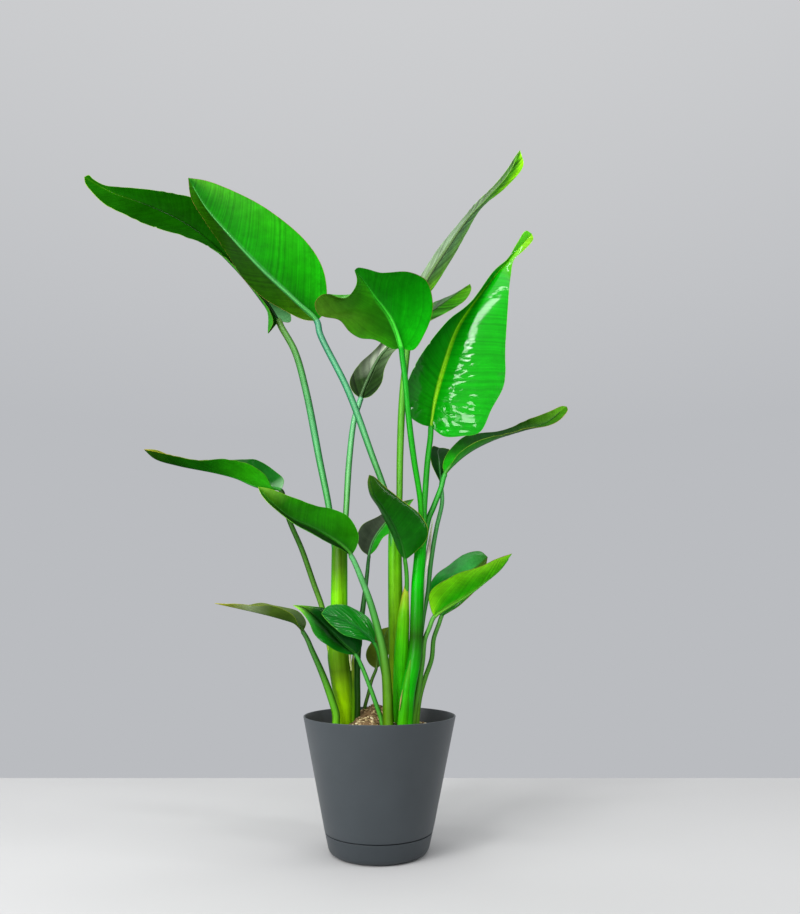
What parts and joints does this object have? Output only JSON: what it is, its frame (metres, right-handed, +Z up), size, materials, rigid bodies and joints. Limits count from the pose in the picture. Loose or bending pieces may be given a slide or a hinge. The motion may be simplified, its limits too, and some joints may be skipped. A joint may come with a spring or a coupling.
{
  "type": "potted bird of paradise",
  "caption": "Tall potted bird of paradise plant: long-stalked paddle leaves on sheathed stems in a tapered round pot that stands in its own saucer.",
  "frame": {"origin": "middle of the saucer's flat underside, on the pot's axis", "axes": "+Z up along the pot's axis, which is also the plant's longest extent; the leaves spread along X, and -Y is the front"},
  "size_m": [0.9362, 0.337, 1.2911],
  "materials": {
    "saucer_plastic": "moulded anthracite plastic, satin",
    "pot_plastic": "moulded anthracite plastic, satin",
    "soil": "loose bark and peat potting mix",
    "stem": "smooth living leaf sheath",
    "leaf": "waxy living leaf, glossy on the upper side"
  },
  "bodies": {
    "root": {"saucer": "saucer_plastic", "pot": "pot_plastic", "soil": "soil", "stem_left": "stem", "stem_centre": "stem", "stem_right": "stem", "leaf_high_far_left": "leaf", "leaf_high_left": "leaf", "leaf_high_centre": "leaf", "leaf_high_right": "leaf", "leaf_broad_right": "leaf", "leaf_high_back": "leaf", "leaf_mid_far_left": "leaf", "leaf_mid_left": "leaf", "leaf_mid_centre": "leaf", "leaf_mid_back": "leaf", "leaf_mid_far_right": "leaf", "leaf_mid_right_back": "leaf", "leaf_low_right": "leaf", "leaf_low_right_back": "leaf", "leaf_low_far_left": "leaf", "leaf_low_left": "leaf", "leaf_low_centre": "leaf", "leaf_low_back": "leaf"}
  },
  "joints": []
}
